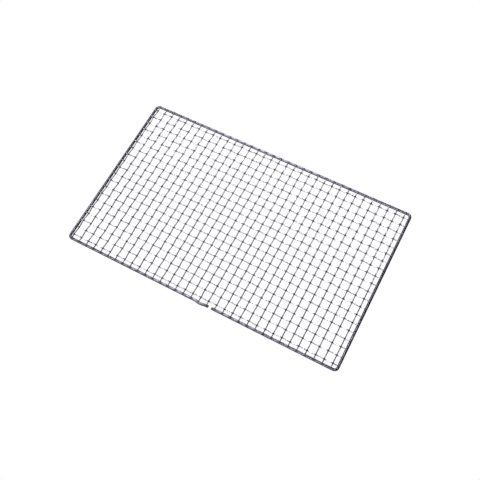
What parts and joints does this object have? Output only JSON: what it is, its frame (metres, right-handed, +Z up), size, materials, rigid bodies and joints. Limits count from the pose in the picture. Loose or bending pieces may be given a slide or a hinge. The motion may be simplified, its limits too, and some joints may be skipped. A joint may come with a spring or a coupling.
{
  "type": "hibachi grill grate",
  "caption": "Flat rectangular cooking grate: crimped steel wires in a plain weave, their ends welded on top of a round-wire frame with rounded corners.",
  "frame": {"origin": "middle of the frame wire's rectangle, on the surface that the frame lies on", "axes": "+Z up, from the frame wire to the mesh; X along the long sides; -Y towards the long side with the open joint in the frame wire"},
  "size_m": [0.3442, 0.2067, 0.0047],
  "materials": {
    "frame_wire": "drawn and galvanised steel wire, bluish grey, satin, a little darker than the mesh",
    "cross_wire": "drawn and galvanised steel wire, bright, with fine marks along its length",
    "long_wire": "drawn and galvanised steel wire, bright, with fine marks along its length"
  },
  "bodies": {
    "root": {"frame_wire": "frame_wire", "cross_wire_01": "cross_wire", "cross_wire_02": "cross_wire", "cross_wire_03": "cross_wire", "cross_wire_04": "cross_wire", "cross_wire_05": "cross_wire", "cross_wire_06": "cross_wire", "cross_wire_07": "cross_wire", "cross_wire_08": "cross_wire", "cross_wire_09": "cross_wire", "cross_wire_10": "cross_wire", "cross_wire_11": "cross_wire", "cross_wire_12": "cross_wire", "cross_wire_13": "cross_wire", "cross_wire_14": "cross_wire", "cross_wire_15": "cross_wire", "cross_wire_16": "cross_wire", "cross_wire_17": "cross_wire", "cross_wire_18": "cross_wire", "cross_wire_19": "cross_wire", "cross_wire_20": "cross_wire", "cross_wire_21": "cross_wire", "cross_wire_22": "cross_wire", "cross_wire_23": "cross_wire", "cross_wire_24": "cross_wire", "cross_wire_25": "cross_wire", "cross_wire_26": "cross_wire", "cross_wire_27": "cross_wire", "cross_wire_28": "cross_wire", "cross_wire_29": "cross_wire", "cross_wire_30": "cross_wire", "cross_wire_31": "cross_wire", "cross_wire_32": "cross_wire", "cross_wire_33": "cross_wire", "cross_wire_34": "cross_wire", "long_wire_01": "long_wire", "long_wire_02": "long_wire", "long_wire_03": "long_wire", "long_wire_04": "long_wire", "long_wire_05": "long_wire", "long_wire_06": "long_wire", "long_wire_07": "long_wire", "long_wire_08": "long_wire", "long_wire_09": "long_wire", "long_wire_10": "long_wire", "long_wire_11": "long_wire", "long_wire_12": "long_wire", "long_wire_13": "long_wire", "long_wire_14": "long_wire", "long_wire_15": "long_wire", "long_wire_16": "long_wire", "long_wire_17": "long_wire", "long_wire_18": "long_wire", "long_wire_19": "long_wire", "long_wire_20": "long_wire"}
  },
  "joints": []
}
